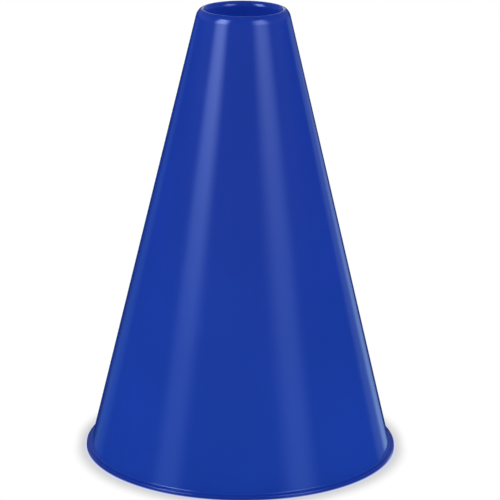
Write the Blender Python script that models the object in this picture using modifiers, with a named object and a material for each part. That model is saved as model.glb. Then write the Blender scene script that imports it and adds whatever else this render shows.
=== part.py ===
"""A small cheer megaphone, standing on its bell.

Three turned pieces on one axis: a thin tapered horn, a mouthpiece sleeve in its
small end, and an edging ring round the foot of its bell. The sleeve and the horn
each carry half of the rounded lip, and the ring finishes the foot and is what the
megaphone stands on.

Metres, +Z up. The origin is on the axis, in the plane that the bell rests on.
"""

import math

import bpy

# Overall. The two radii are those of the cone's outer line, carried on to the lip's
# highest plane and down to the resting plane.
HEIGHT = 0.203
MOUTH_RADIUS = 0.0201
BELL_RADIUS = 0.0689

# Lip and shoulder
SHOULDER_HEIGHT = 0.0035  # along the slope, over which the wall rounds in to the lip

# Horn
WALL = 0.0018  # square to the slope
FOOT_FILLET = 0.00065  # where the wall turns out into the foot
FOOT_FLAT = 0.0004  # level strip outside the fillet
FOOT_THICKNESS = 0.0009

# Mouthpiece
SLEEVE_WALL = 0.0025  # square to the slope
SLEEVE_LENGTH = 0.012
SLEEVE_LEAD = 0.0005  # rounding inside the sleeve's lower end

# Bell rim
RIM_HEIGHT = 0.00165  # level with the top of the foot
RIM_FLAT = 0.0004  # level strip on the bead that stands outside the foot
RIM_EDGE = 0.0006  # rounding of the bead's upper corner
RIM_UNDER = 0.0005  # rounding of the bead's lower corner

FIT_GAP = 0.0003  # between two pieces that are pressed or bonded together
TURN_STEPS = 96
ARC_STEPS = 6

ROYAL_BLUE = (0.011, 0.044, 0.33, 1.0)
RIM_BLUE = (0.013, 0.036, 0.29, 1.0)

SLOPE_ANGLE = math.atan((BELL_RADIUS - MOUTH_RADIUS) / HEIGHT)
LEVEL_WALL = WALL / math.cos(SLOPE_ANGLE)
LEVEL_SLEEVE = SLEEVE_WALL / math.cos(SLOPE_ANGLE)
LEVEL_GAP = FIT_GAP / math.cos(SLOPE_ANGLE)


def cone_radius(height):
    """The radius of the cone's outer line at a height."""
    return BELL_RADIUS - height * math.tan(SLOPE_ANGLE)


def arc(centre, start, end, turn_from, turn_to, steps=ARC_STEPS):
    """Points round centre, where start and end are the half-axes met at 0 and 90 degrees."""
    points = []
    for i in range(steps + 1):
        angle = math.radians(turn_from + (turn_to - turn_from) * i / steps)
        across, along = math.cos(angle), math.sin(angle)
        points.append(
            (
                centre[0] + across * start[0] + along * end[0],
                centre[1] + across * start[1] + along * end[1],
            )
        )
    return points


def shoulder(inset, reach, turn_from, turn_to):
    """A quarter of the lip: it leaves a line inset from the cone's outer line by reach,
    and rounds up to that line at the megaphone's full height."""
    rise = SHOULDER_HEIGHT * math.cos(SLOPE_ANGLE)
    low = HEIGHT - rise
    centre = (cone_radius(low) - inset, low)
    up_slope = (-SHOULDER_HEIGHT * math.sin(SLOPE_ANGLE), rise)
    return arc(centre, (reach, 0), up_slope, turn_from, turn_to)


def slope_to_level(corner, radius):
    """The rounding between the slope, coming down to a corner, and a level face that
    runs out from it."""
    run = radius / math.tan(math.radians(45) + SLOPE_ANGLE / 2)
    centre = (corner[0] + run, corner[1] + radius)
    return arc(centre, (-radius, 0), (0, -radius), math.degrees(SLOPE_ANGLE), 90)


def foot_fillet():
    return slope_to_level((cone_radius(RIM_HEIGHT), RIM_HEIGHT), FOOT_FILLET)


def foot_radius():
    return foot_fillet()[-1][0] + FOOT_FLAT


def horn_outline():
    foot_under = RIM_HEIGHT - FOOT_THICKNESS
    return [
        *shoulder(LEVEL_WALL, LEVEL_WALL, 90, 0),
        *foot_fillet(),
        (foot_radius(), RIM_HEIGHT),
        (foot_radius(), foot_under),
        (cone_radius(foot_under) - LEVEL_WALL, foot_under),
    ]


def mouthpiece_outline():
    inset = LEVEL_WALL + LEVEL_GAP
    end = HEIGHT - SLEEVE_LENGTH
    outer = cone_radius(end) - inset
    lead = slope_to_level((outer - LEVEL_SLEEVE, end), SLEEVE_LEAD)
    return [(outer, end), *reversed(lead), *shoulder(inset, -LEVEL_SLEEVE, 0, 90)]


def bell_rim_outline():
    bore = foot_radius() + FIT_GAP
    outside = bore + RIM_FLAT + RIM_EDGE
    ledge_top = RIM_HEIGHT - FOOT_THICKNESS - FIT_GAP
    ledge_bore = cone_radius(RIM_HEIGHT - FOOT_THICKNESS) - LEVEL_WALL
    upper = arc((outside - RIM_EDGE, RIM_HEIGHT - RIM_EDGE), (RIM_EDGE, 0), (0, RIM_EDGE), 90, 0)
    lower = arc((outside - RIM_UNDER, RIM_UNDER), (RIM_UNDER, 0), (0, -RIM_UNDER), 0, 90)
    return [
        (bore, RIM_HEIGHT),
        *upper,
        *lower,
        (ledge_bore, 0),
        (ledge_bore, ledge_top),
        (bore, ledge_top),
    ]


def plastic(name, colour, roughness):
    material = bpy.data.materials.new(name)
    material.use_nodes = True
    shader = material.node_tree.nodes["Principled BSDF"]
    shader.inputs["Base Color"].default_value = colour
    shader.inputs["Roughness"].default_value = roughness
    shader.inputs["Metallic"].default_value = 0.0
    material.diffuse_color = colour
    return material


def turned(name, outline, datum, material):
    """A closed outline, running down its outer side, swept once round the axis."""
    mesh = bpy.data.meshes.new(name)
    points = [(radius, 0, height - datum) for radius, height in outline]
    count = len(points)
    mesh.from_pydata(points, [(i, (i + 1) % count) for i in range(count)], [])
    mesh.materials.append(material)
    piece = bpy.data.objects.new(name, mesh)
    piece.location.z = datum
    screw = piece.modifiers.new("turn", "SCREW")
    screw.axis = "Z"
    screw.angle = math.tau
    screw.steps = TURN_STEPS
    screw.render_steps = TURN_STEPS
    screw.use_merge_vertices = True
    screw.merge_threshold = 0.00001
    screw.use_smooth_shade = True
    return piece


def main():
    for leftover in list(bpy.data.objects):
        bpy.data.objects.remove(leftover)

    collection = bpy.data.collections.new("cheer_megaphone")
    bpy.context.scene.collection.children.link(collection)
    axis = bpy.data.objects.new("megaphone_axis", None)
    collection.objects.link(axis)

    pieces = [
        turned("horn", horn_outline(), 0, plastic("horn_plastic", ROYAL_BLUE, 0.3)),
        turned("mouthpiece", mouthpiece_outline(), HEIGHT, plastic("lip_plastic", ROYAL_BLUE, 0.22)),
        turned("bell_rim", bell_rim_outline(), 0, plastic("rim_plastic", RIM_BLUE, 0.28)),
    ]
    for piece in pieces:
        piece.parent = axis
        collection.objects.link(piece)


main()
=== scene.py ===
"""The looks of a small cheer megaphone: its fine turned pieces, glossy moulded plastic
and studio. Metres, +Z up, with the origin on the axis in the plane it rests on."""

import math

import bmesh
import bpy
from mathutils import Euler, Matrix, Vector


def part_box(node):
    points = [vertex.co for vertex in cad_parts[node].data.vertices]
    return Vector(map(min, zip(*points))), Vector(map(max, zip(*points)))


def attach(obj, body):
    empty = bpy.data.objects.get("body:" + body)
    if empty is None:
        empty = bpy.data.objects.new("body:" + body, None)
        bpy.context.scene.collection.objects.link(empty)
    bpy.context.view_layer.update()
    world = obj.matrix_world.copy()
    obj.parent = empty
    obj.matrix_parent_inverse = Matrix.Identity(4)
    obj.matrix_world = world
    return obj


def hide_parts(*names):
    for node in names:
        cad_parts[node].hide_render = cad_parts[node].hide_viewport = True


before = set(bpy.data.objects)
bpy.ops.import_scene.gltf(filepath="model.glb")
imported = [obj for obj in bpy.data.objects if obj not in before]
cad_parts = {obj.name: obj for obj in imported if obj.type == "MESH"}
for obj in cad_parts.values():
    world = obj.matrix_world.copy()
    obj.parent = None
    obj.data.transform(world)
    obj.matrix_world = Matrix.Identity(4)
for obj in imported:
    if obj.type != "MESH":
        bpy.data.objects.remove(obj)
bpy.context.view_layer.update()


# ---- Sizes -------------------------------------------------------------------------

WALL_SLOPE = 0.2404  # how far in the wall comes for each metre that it rises
WALL_LEAN = math.atan(WALL_SLOPE)
WALL = 0.0018 / math.cos(WALL_LEAN)  # this and the next two are widths measured level
SLEEVE_WALL = 0.0025 / math.cos(WALL_LEAN)
FIT_GAP = 0.0003 / math.cos(WALL_LEAN)  # what the solids leave between sleeve and horn
SHOULDER = 0.0035  # along the slope, over which the wall rounds in to the lip
SLEEVE_LEAD = 0.0005  # rounding inside the sleeve's lower end
FOOT_FILLET = 0.00065  # rounding where the wall turns out into the foot
FOOT_FLAT = 0.0004  # level strip outside that rounding
RIM_EDGE = 0.0006  # rounding of the bead's upper corner
RIM_UNDER = 0.0005  # and of its lower corner

HAIRLINE = 0.00008  # what is seen of a joint between two pieces
EASE = 0.0001  # rounding of the corners at a joint
HEM_EASE = 0.00025  # rounding of the corners that a hand meets

TURN_STEPS = 288  # faces round the axis
CURVE_STEPS = 14  # faces along each curve of an outline
EASE_STEPS = 4  # and along each eased corner
ROW_HEIGHT = 0.004  # the most that is left between the rings up a straight wall
HOLD = 0.00012  # distance of a holding ring from the end of a straight wall
SHORTEST_HELD = 4 * HOLD  # a straight shorter than this gets no rings

horn_low, horn_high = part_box("horn")
sleeve_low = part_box("mouthpiece")[0]
rim_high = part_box("bell_rim")[1]

TOP = horn_high.z
RIM_TOP = rim_high.z
FOOT_UNDER = horn_low.z
FOOT_RADIUS = horn_high.x
RIM_RADIUS = rim_high.x
SLEEVE_END = sleeve_low.z
FILLET_RUN = FOOT_FILLET / math.tan(math.radians(45) + WALL_LEAN / 2)
BELL_RADIUS = FOOT_RADIUS - FOOT_FLAT - FILLET_RUN + RIM_TOP * math.tan(WALL_LEAN)


# ---- Camera ------------------------------------------------------------------------

CAMERA_PLACE = Vector((0, -1.0837, 0.4146))
CAMERA_DOWN = math.radians(16.552)  # how far it is turned down,
CAMERA_RIGHT = math.radians(0.198)  # to the right
CAMERA_LEAN = math.radians(0.450)  # and about its own line of sight
CAMERA_LENS = 180.46  # in millimetres, as is the width of the frame
CAMERA_FRAME = 36
CAMERA_NEAR = 0.05
CAMERA_FAR = 30


def place_camera():
    camera = bpy.data.objects.new("camera", bpy.data.cameras.new("camera"))
    bpy.context.scene.collection.objects.link(camera)
    camera.data.lens = CAMERA_LENS
    camera.data.sensor_width = CAMERA_FRAME
    camera.data.clip_start = CAMERA_NEAR
    camera.data.clip_end = CAMERA_FAR
    aim = Euler((math.radians(90) - CAMERA_DOWN, 0, -CAMERA_RIGHT)).to_matrix()
    lean = Matrix.Rotation(CAMERA_LEAN, 3, "Z")
    camera.matrix_world = Matrix.Translation(CAMERA_PLACE) @ (aim @ lean).to_4x4()
    bpy.context.scene.camera = camera


place_camera()


# ---- Outlines ----------------------------------------------------------------------


def cone_radius(height):
    """The radius of the cone's outer line at a height."""
    return BELL_RADIUS - height * math.tan(WALL_LEAN)


def arc(centre, start, end, turn_from, turn_to):
    """Points round centre, where start and end are the half-axes met at 0 and 90 degrees."""
    points = []
    for i in range(CURVE_STEPS + 1):
        angle = math.radians(turn_from + (turn_to - turn_from) * i / CURVE_STEPS)
        across, along = math.cos(angle), math.sin(angle)
        points.append(
            (
                centre[0] + across * start[0] + along * end[0],
                centre[1] + across * start[1] + along * end[1],
            )
        )
    return points


def shoulder(inset, reach, turn_from, turn_to):
    """Half of the lip. It starts at reach from a line that lies inset from the cone's
    outer line, and rounds up to that line at the megaphone's full height."""
    rise = SHOULDER * math.cos(WALL_LEAN)
    low = TOP - rise
    centre = (cone_radius(low) - inset, low)
    up_slope = (-SHOULDER * math.sin(WALL_LEAN), rise)
    return arc(centre, (reach, 0), up_slope, turn_from, turn_to)


def slope_to_level(corner, radius):
    """The rounding where the slope comes down to a level face that runs out from it."""
    run = radius / math.tan(math.radians(45) + WALL_LEAN / 2)
    centre = (corner[0] + run, corner[1] + radius)
    return arc(centre, (-radius, 0), (0, -radius), math.degrees(WALL_LEAN), 90)


def eased(before, corner, after, radius):
    """The points that round one corner of an outline."""
    before, corner, after = Vector(before), Vector(corner), Vector(after)
    way_in = (before - corner).normalized()
    way_out = (after - corner).normalized()
    half = way_in.angle(way_out) / 2
    centre = corner + (way_in + way_out).normalized() * radius / math.sin(half)
    start = corner + way_in * radius / math.tan(half) - centre
    end = corner + way_out * radius / math.tan(half) - centre
    sweep = math.pi - 2 * half
    points = []
    for i in range(EASE_STEPS + 1):
        turn = sweep * i / EASE_STEPS
        point = centre + (start * math.sin(sweep - turn) + end * math.sin(turn)) / math.sin(sweep)
        points.append(tuple(point))
    return points


def ease_corners(outline):
    """A closed outline where each point that carries a third number is rounded by it."""
    points = []
    for i, point in enumerate(outline):
        if len(point) == 2:
            points.append(point)
            continue
        before = outline[i - 1][:2]
        after = outline[(i + 1) % len(outline)][:2]
        points += eased(before, point[:2], after, point[2])
    return points


def ring_up(outline):
    """Adds points along each long straight of an outline, with one close to each end."""
    points = []
    for here, there in zip(outline, outline[1:] + outline[:1]):
        points.append(here)
        here, there = Vector(here), Vector(there)
        length = (there - here).length
        if length < SHORTEST_HELD:
            continue
        rows = math.ceil((length - 2 * HOLD) / ROW_HEIGHT)
        for row in range(rows + 1):
            along = HOLD + (length - 2 * HOLD) * row / rows
            points.append(tuple(here.lerp(there, along / length)))
    return points


def horn_outline():
    inner_foot = cone_radius(FOOT_UNDER) - WALL
    crest, *outside = shoulder(WALL, WALL, 90, 0)
    return [
        (*crest, EASE),
        *outside,
        *slope_to_level((cone_radius(RIM_TOP), RIM_TOP), FOOT_FILLET),
        (FOOT_RADIUS, RIM_TOP, EASE / 2),
        (FOOT_RADIUS, FOOT_UNDER, EASE),
        (inner_foot, FOOT_UNDER, HEM_EASE),
    ]


def mouthpiece_outline():
    inset = WALL + HAIRLINE
    wall = SLEEVE_WALL + FIT_GAP - HAIRLINE
    outer = cone_radius(SLEEVE_END) - inset
    lead = slope_to_level((outer - wall, SLEEVE_END), SLEEVE_LEAD)
    *inside, crest = shoulder(inset, -wall, 0, 90)
    return [(outer, SLEEVE_END, EASE), *reversed(lead), *inside, (*crest, EASE)]


def bell_rim_outline():
    bore = FOOT_RADIUS + HAIRLINE
    ledge_top = FOOT_UNDER - HAIRLINE
    ledge_bore = cone_radius(FOOT_UNDER) - WALL
    upper_centre = (RIM_RADIUS - RIM_EDGE, RIM_TOP - RIM_EDGE)
    lower_centre = (RIM_RADIUS - RIM_UNDER, RIM_UNDER)
    return [
        (bore, RIM_TOP, EASE / 2),
        *arc(upper_centre, (RIM_EDGE, 0), (0, RIM_EDGE), 90, 0),
        *arc(lower_centre, (RIM_UNDER, 0), (0, -RIM_UNDER), 0, 90),
        (ledge_bore, 0, HEM_EASE),
        (ledge_bore, ledge_top, EASE),
        (bore, ledge_top),
    ]


def turned(name, outline):
    """A closed outline, running down its outer side, swept once round the axis."""
    outline = ring_up(ease_corners(outline))
    shell = bmesh.new()
    rings = []
    for step in range(TURN_STEPS):
        angle = math.tau * step / TURN_STEPS
        across, along = math.cos(angle), math.sin(angle)
        rings.append([shell.verts.new((r * across, r * along, h)) for r, h in outline])
    for here, there in zip(rings, rings[1:] + rings[:1]):
        for i in range(len(outline)):
            j = (i + 1) % len(outline)
            face = shell.faces.new((here[i], here[j], there[j], there[i]))
            face.smooth = True
    bmesh.ops.recalc_face_normals(shell, faces=shell.faces)
    mesh = bpy.data.meshes.new(name)
    shell.to_mesh(mesh)
    shell.free()
    piece = bpy.data.objects.new(name, mesh)
    bpy.context.scene.collection.objects.link(piece)
    return piece


# ---- Shader recipes ----------------------------------------------------------------


class Value:
    """A node's socket in a recipe. Sums on it add their Math nodes to that recipe."""

    def __init__(self, recipe, socket):
        self.recipe = recipe
        self.socket = socket

    def beside(self, output):
        """Another output of the same node."""
        return Value(self.recipe, self.socket.node.outputs[output])

    def maths(self, operation, first, second):
        return self.recipe.add("Math", {"operation": operation}, {0: first, 1: second})

    def __add__(self, other):
        return self.maths("ADD", self, other)

    __radd__ = __add__

    def __sub__(self, other):
        return self.maths("SUBTRACT", self, other)

    def __rsub__(self, other):
        return self.maths("SUBTRACT", other, self)

    def __mul__(self, other):
        return self.maths("MULTIPLY", self, other)

    __rmul__ = __mul__

    def __truediv__(self, other):
        return self.maths("DIVIDE", self, other)


class Recipe:
    """The nodes of one material or of the world."""

    def __init__(self, owner):
        owner.use_nodes = True
        self.tree = owner.node_tree
        self.tree.nodes.clear()

    def add(self, kind, settings, values, output=0):
        """A node of a kind, with its settings first and then its sockets' values or links.
        It gives the value of one output, or nothing for a node that ends the recipe."""
        node = self.tree.nodes.new("ShaderNode" + kind)
        for name, setting in settings.items():
            if name == "stops":
                self.set_stops(node.color_ramp, setting)
            else:
                setattr(node, name, setting)
        for name, value in values.items():
            socket = node.inputs[name]
            if isinstance(value, Value):
                self.tree.links.new(value.socket, socket)
            else:
                socket.default_value = value
        return Value(self, node.outputs[output]) if node.outputs else None

    def set_stops(self, ramp, stops):
        """Stops are pairs of a place on the ramp and a colour, or a number for a grey."""
        while len(ramp.elements) < len(stops):
            ramp.elements.new(0)
        for element, (place, level) in zip(ramp.elements, stops):
            element.position = place
            element.color = level if isinstance(level, tuple) else (level, level, level, 1)

    def ramp(self, value, *stops):
        return self.add("ValToRGB", {"stops": stops}, {"Fac": value})

    def noise(self, place, scale, detail, roughness=0.5):
        """A cloudy pattern of scale cells to each unit of place, which is a metre unless
        it was stretched."""
        values = {"Vector": place, "Scale": scale, "Detail": detail, "Roughness": roughness}
        return self.add("TexNoise", {}, values)

    def stretched(self, place, stretch, turn=(0, 0, 0)):
        return self.add("Mapping", {}, {"Vector": place, "Rotation": turn, "Scale": stretch})

    def blend(self, factor, first, second):
        """A mix of two colours, whose sockets on the node are 6, 7 and output 2."""
        return self.add("Mix", {"data_type": "RGBA"}, {0: factor, 6: first, 7: second}, 2)


# ---- Moulded plastic ---------------------------------------------------------------

ROYAL_BLUE = (0.0100, 0.0425, 0.3900, 1)
BELL_BLUE = (0.0100, 0.0530, 0.4400, 1)
RIM_BLUE = (0.0095, 0.0400, 0.3700, 1)
RUBBED_BLUE = (0.0300, 0.0800, 0.4200, 1)
WHITE = (1, 1, 1, 1)
BLACK = (0, 0, 0, 1)
GLOSS_TINT = (0.60, 0.72, 1.0, 1)
PLASTIC_IOR = 1.5
DRIFT_END = 0.7  # share of the height by which the upper colour is reached
CLOUDING = 0.16  # the most that the pigment's clouding darkens it

CLOUD_CELLS = 24  # cells to the metre, here and below
SMUDGE_CELLS = 55
PEEL_CELLS = 420
GRAIN_CELLS = 2600
TOOLING_CELLS = (3, 3, 900)  # level lines left by the turning of the mould
UP_SCUFF_CELLS = (1700, 1700, 60)
UP_SCUFF_TURN = (0.5, 0.3, 0)
SIDE_SCUFF_CELLS = (90, 1500, 1500)
SIDE_SCUFF_TURN = (0, 0.2, 0.9)
SMUDGE_BARE = 0.52  # the pattern's level up to which there is none,
SMUDGE_FULL = 0.74  # and from which it is whole
SCUFF_BARE = 0.70
SCUFF_FULL = 0.74

GRAIN_DULLS = 0.02  # what each adds to the roughness
SMUDGE_DULLS = 0.035
SCUFF_DULLS = 0.05
WEAR_DULLS = 0.16

PEEL_RELIEF = 0.45  # each one's share of the relief
TOOLING_RELIEF = 0.12
GRAIN_RELIEF = 0.04
SCUFF_RELIEF = 0.25
RELIEF_DEPTH = 0.000012
RELIEF_STRENGTH = 0.35


def patches(recipe, place, cells, bare, full):
    """Blotches: none where a cloudy pattern is under bare, and whole where it is over full."""
    cloudy = recipe.noise(place, cells, detail=4, roughness=0.7)
    return recipe.ramp(cloudy, (bare, 0.0), (full, 1.0))


def scuffs_along(recipe, place, cells, turn):
    """Thin marks, lying along the axis with the fewest cells. The turn comes after the
    stretch, so it changes which marks there are and not how they lie."""
    marks = recipe.noise(recipe.stretched(place, cells, turn), 1.0, detail=2)
    return recipe.ramp(marks, (SCUFF_BARE, 0.0), (SCUFF_FULL, 1.0))


def moulded_plastic(name, low_blue, high_blue, gloss, worn, rubbed):
    """Glossy coloured plastic as it leaves a polished mould, with handling marks.

    Its colour shifts from low_blue at the bell to high_blue further up. gloss is its least
    roughness. worn says where it is rubbed, from 0 to 1, and rubbed says how much."""
    material = bpy.data.materials.new(name)
    recipe = Recipe(material)
    place = recipe.add("TexCoord", {}, {}, "Object")
    height = recipe.add("SeparateXYZ", {}, {"Vector": place}, "Z")

    clouding = recipe.noise(place, CLOUD_CELLS, detail=3)
    grain = recipe.noise(place, GRAIN_CELLS, detail=2, roughness=0.6)
    peel = recipe.noise(place, PEEL_CELLS, detail=2)
    smudges = recipe.noise(place, SMUDGE_CELLS, detail=4, roughness=0.62)
    smudges = recipe.ramp(smudges, (SMUDGE_BARE, 0.0), (SMUDGE_FULL, 1.0))
    level_lines = recipe.stretched(place, TOOLING_CELLS)
    tooling = recipe.noise(level_lines, 1.0, detail=3, roughness=0.7)
    scuffs = scuffs_along(recipe, place, UP_SCUFF_CELLS, UP_SCUFF_TURN)
    scuffs = scuffs + scuffs_along(recipe, place, SIDE_SCUFF_CELLS, SIDE_SCUFF_TURN)
    edge_wear = worn(recipe, place, height) * rubbed

    colour = recipe.blend(height / (TOP * DRIFT_END), low_blue, high_blue)
    colour = recipe.blend((1 - clouding) * CLOUDING, colour, BLACK)
    colour = recipe.blend(edge_wear, colour, RUBBED_BLUE)
    roughness = gloss + grain * GRAIN_DULLS + smudges * SMUDGE_DULLS
    roughness = roughness + scuffs * SCUFF_DULLS + edge_wear * WEAR_DULLS
    relief = peel * PEEL_RELIEF + tooling * TOOLING_RELIEF + grain * GRAIN_RELIEF
    relief = relief - scuffs * SCUFF_RELIEF - edge_wear * grain
    bump = recipe.add(
        "Bump", {}, {"Strength": RELIEF_STRENGTH, "Distance": RELIEF_DEPTH, "Height": relief}
    )
    shader = recipe.add(
        "BsdfPrincipled",
        {},
        {
            "Base Color": colour,
            "Roughness": roughness,
            "Normal": bump,
            "IOR": PLASTIC_IOR,
            "Specular Tint": GLOSS_TINT,
        },
    )
    recipe.add("OutputMaterial", {}, {"Surface": shader})
    return material


def worn_hem(recipe, place, height):
    """Rubbed low down, where the bell's edge drags over a table."""
    patchy = patches(recipe, place, cells=160, bare=0.45, full=0.65)
    low = recipe.ramp(height / RIM_TOP, (0.05, 1.0), (0.55, 0.0))
    return low * patchy


def worn_lip(recipe, place, height):
    """Rubbed on the lip's crest."""
    patchy = patches(recipe, place, cells=260, bare=0.48, full=0.66)
    crest = recipe.ramp((TOP - height) / SHOULDER, (0.02, 1.0), (0.30, 0.0))
    return crest * patchy


def worn_horn(recipe, place, height):
    """Rubbed a little in a band where hands hold it."""
    patchy = patches(recipe, place, cells=120, bare=0.60, full=0.75)
    band = recipe.ramp(height / TOP, (0.30, 0.0), (0.55, 1.0), (0.80, 0.0))
    return band * patchy


# ---- The megaphone -----------------------------------------------------------------


def make_piece(node, outline, material):
    piece = turned(node + "_turned", outline)
    piece.data.materials.append(material)
    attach(piece, "root")
    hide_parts(node)


HORN_PLASTIC = moulded_plastic("horn_plastic_gloss", BELL_BLUE, ROYAL_BLUE, 0.10, worn_horn, 0.15)
LIP_PLASTIC = moulded_plastic("lip_plastic_gloss", BELL_BLUE, ROYAL_BLUE, 0.08, worn_lip, 0.3)
RIM_PLASTIC = moulded_plastic("rim_plastic_gloss", RIM_BLUE, ROYAL_BLUE, 0.09, worn_hem, 0.6)

make_piece("horn", horn_outline(), HORN_PLASTIC)
make_piece("mouthpiece", mouthpiece_outline(), LIP_PLASTIC)
make_piece("bell_rim", bell_rim_outline(), RIM_PLASTIC)


# ---- Studio ------------------------------------------------------------------------

FLOOR_HALF = 8.0
FLOOR_DROP = 0.00005  # below the resting plane, so that the two don't meet
FLOOR_PAINT = (0.88, 0.88, 0.88, 1)
SIDE_SHADOW = 0.0061  # how far the soft shadow reaches past the rim, at the sides
FRONT_SHADOW = 0.0120  # and in front and behind
SHADOW = (  # painted shade on the floor inside the horn, then a painted soft shadow from the rim to its end, tinted blue next to the rim as painted bounce light
    (0.00, (0.16, 0.20, 0.42, 1)),
    (0.03, (0.63, 0.67, 0.92, 1)),
    (0.13, (0.65, 0.67, 0.79, 1)),
    (0.20, (0.67, 0.67, 0.68, 1)),
    (0.45, (0.785, 0.785, 0.785, 1)),
    (0.74, (0.93, 0.93, 0.93, 1)),
    (1.00, WHITE),
)

FILL_LIGHT = 0.56  # from in front and behind
SIDE_FILL = 2.7  # how many times that is added at the two sides
LEFT_FILL = 0.12  # and added at the left, and taken off at the right

# What follows is seen in the gloss alone. Its stops are degrees above the horizon.
ROOM_GLOW = ((4, 0.02), (8, 0.26), (18, 0.32), (40, 0.12))
LOW_BLUE = (0.52, 0.76, 1.0, 1)
STUDIO_BLUE = (0.56, 0.72, 1.0, 1)
HIGH_BLUE = (0.62, 0.68, 0.80, 1)
ROOM_HUES = ((4, LOW_BLUE), (8.5, STUDIO_BLUE), (11.5, HIGH_BLUE))
SHEET_BLUE = (0.25, 0.55, 1.0, 1)
SHEET_TINTING = 5  # how strongly the left sheet takes on its blue
SOFTBOX_LEVEL = 13.0
BACKDROP_LEVEL = 2.0
TAPER_FOOT = 4  # up to where a tapered card is narrowest
TAPER_END = 13  # and from where it has its full width

THROAT_GLOW = 0.012
THROAT_LAMP_SIZE = 0.006
THROAT_LAMP_DEPTH = 0.028  # below the top of the lip


def lay_floor():
    """A pale matt sheet. It is seen as plain white, with a soft shadow painted round the rim and
    painted shade inside the horn. The gloss doesn't show it: the room goes on below the horizon
    there."""
    mesh = bpy.data.meshes.new("floor")
    side = FLOOR_HALF
    corners = [(-side, -side, 0), (side, -side, 0), (side, side, 0), (-side, side, 0)]
    mesh.from_pydata(corners, [], [(0, 1, 2, 3)])
    floor = bpy.data.objects.new("floor", mesh)
    bpy.context.scene.collection.objects.link(floor)
    floor.location.z = -FLOOR_DROP
    floor.visible_glossy = False

    material = bpy.data.materials.new("floor_white")
    recipe = Recipe(material)
    looked_at = recipe.add("LightPath", {}, {}, "Is Camera Ray")
    place = recipe.add("TexCoord", {}, {}, "Object")
    radius = recipe.add("VectorMath", {"operation": "LENGTH"}, {0: place}, "Value")
    forward = recipe.add("SeparateXYZ", {}, {"Vector": place}, "Y") / radius
    forward = recipe.add("Math", {"operation": "ABSOLUTE"}, {0: forward})
    reach = SIDE_SHADOW + forward * (FRONT_SHADOW - SIDE_SHADOW)
    # painted shadow: the floor's seen colour darkened round the rim and painted blue-grey shade
    # inside the horn
    painted_shadow = recipe.ramp((radius - RIM_RADIUS) / reach, *SHADOW)
    lit = recipe.add("Emission", {}, {"Color": painted_shadow, "Strength": 1.0})
    matt = recipe.add("BsdfDiffuse", {}, {"Color": FLOOR_PAINT})
    seen = recipe.add("MixShader", {}, {0: looked_at, 1: matt, 2: lit})
    recipe.add("OutputMaterial", {}, {"Surface": seen})
    mesh.materials.append(material)


def degrees_ramp(recipe, angle, *stops):
    """A ramp over an angle in degrees from -90 to 90."""
    return recipe.ramp(angle / 180 + 0.5, *(((turn / 180 + 0.5), level) for turn, level in stops))


def card(recipe, azimuth, elevation, middle, flat, fade, glow, taper=1):
    """What a soft lit card adds to the room: even over flat degrees to each side of its
    middle, gone by fade degrees, and glow up its height. A taper is the share of that
    width that it keeps towards the floor."""
    off = recipe.add("Math", {"operation": "ABSOLUTE"}, {0: azimuth - middle})
    if taper != 1:
        off = off / degrees_ramp(recipe, elevation, (TAPER_FOOT, taper), (TAPER_END, 1.0))
    across = degrees_ramp(recipe, off, (flat, 1.0), (fade, 0.0))
    across = across * across * (3 - 2 * across)
    return across * degrees_ramp(recipe, elevation, *glow)


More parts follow.
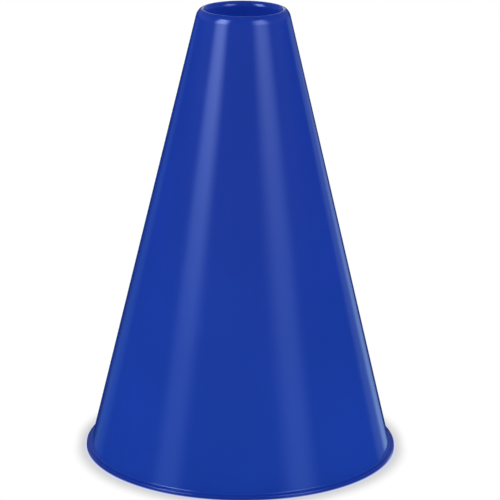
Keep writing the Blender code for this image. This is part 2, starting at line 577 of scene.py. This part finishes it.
def light_room():
    """The room, by direction. It is white where it is looked at, and lights matt surfaces
    with a smooth fill. The gloss shows two softboxes in front. Behind, it shows a low
    backdrop and, at both sides, a lit sheet with a brighter strip low down at its inner
    edge."""
    world = bpy.data.worlds.new("room")
    bpy.context.scene.world = world
    world.cycles.sampling_method = "NONE"
    recipe = Recipe(world)
    looked_at = recipe.add("LightPath", {}, {}, "Is Camera Ray")
    glossy = looked_at.beside("Is Glossy Ray")
    way = recipe.add("TexCoord", {}, {}, "Generated")
    x = recipe.add("SeparateXYZ", {}, {"Vector": way}, "X")
    y = x.beside("Y")
    z = x.beside("Z")
    to_degrees = math.degrees(1)
    elevation = recipe.add("Math", {"operation": "ARCSINE"}, {0: z}) * to_degrees
    from_front = recipe.add("Math", {"operation": "ARCTAN2"}, {0: x, 1: 0 - y}) * to_degrees
    from_back = recipe.add("Math", {"operation": "ARCTAN2"}, {0: x, 1: y}) * to_degrees

    room = degrees_ramp(recipe, elevation, *ROOM_GLOW)
    left = card(
        recipe, from_front, elevation, middle=-56, flat=4, fade=24, taper=0.68,
        glow=((1, 0.068), (5, 0.080), (9, 0.21), (13, 0.45), (20, 1.0), (44, 1.0), (49, 0.0)),
    )
    right = card(
        recipe, from_front, elevation, middle=46, flat=3, fade=28, taper=0.65,
        glow=((1, 0.095), (5, 0.090), (9, 0.115), (13, 0.23), (20, 0.6), (44, 0.6), (49, 0.0)),
    )
    backdrop = card(
        recipe, from_back, elevation, middle=0, flat=3, fade=7,
        glow=((8, 0.0), (10.5, 1.0), (15, 1.0), (19, 0.0)),
    )
    right_sheet = card(
        recipe, from_back, elevation, middle=41, flat=7, fade=15,
        glow=((-20, 0.30), (-6, 0.30), (-3, 0.40), (3, 0.33), (8, 0.0)),
    )
    right_edge = card(
        recipe, from_back, elevation, middle=29, flat=3, fade=11,
        glow=((-16, 0.85), (-9, 0.50), (-7, 0.34), (-4, 0.0)),
    )
    left_sheet = card(
        recipe, from_back, elevation, middle=-41, flat=4, fade=12,
        glow=((-20, 0.22), (-2, 0.22), (2, 0.0)),
    )
    left_edge = card(
        recipe, from_back, elevation, middle=-32, flat=3, fade=9,
        glow=((-14, 0.14), (-10, 0.03), (-8, 0.0)),
    )
    gloss = room + (left + right) * SOFTBOX_LEVEL + backdrop * BACKDROP_LEVEL
    gloss = gloss + right_sheet + right_edge + left_sheet + left_edge
    fill = (1 + x * x * SIDE_FILL - x * LEFT_FILL) * FILL_LIGHT
    level = looked_at + (1 - looked_at) * (glossy * gloss + (1 - glossy) * fill)
    hue = degrees_ramp(recipe, elevation, *ROOM_HUES)
    hue = recipe.blend(left_sheet * SHEET_TINTING, hue, SHEET_BLUE)
    hue = recipe.blend(glossy, WHITE, hue)
    sky = recipe.add("Background", {}, {"Strength": level, "Color": hue})
    recipe.add("OutputWorld", {}, {"Surface": sky})


def light_throat():
    """A small lamp down the horn, in place of light that comes in through its thin wall."""
    lamp = bpy.data.objects.new("throat_lamp", bpy.data.lights.new("throat_lamp", "POINT"))
    bpy.context.scene.collection.objects.link(lamp)
    lamp.data.energy = THROAT_GLOW
    lamp.data.shadow_soft_size = THROAT_LAMP_SIZE
    lamp.location.z = TOP - THROAT_LAMP_DEPTH
    lamp.visible_glossy = False
    lamp.visible_camera = False


lay_floor()
light_room()
light_throat()
bpy.context.scene.view_settings.view_transform = "Standard"
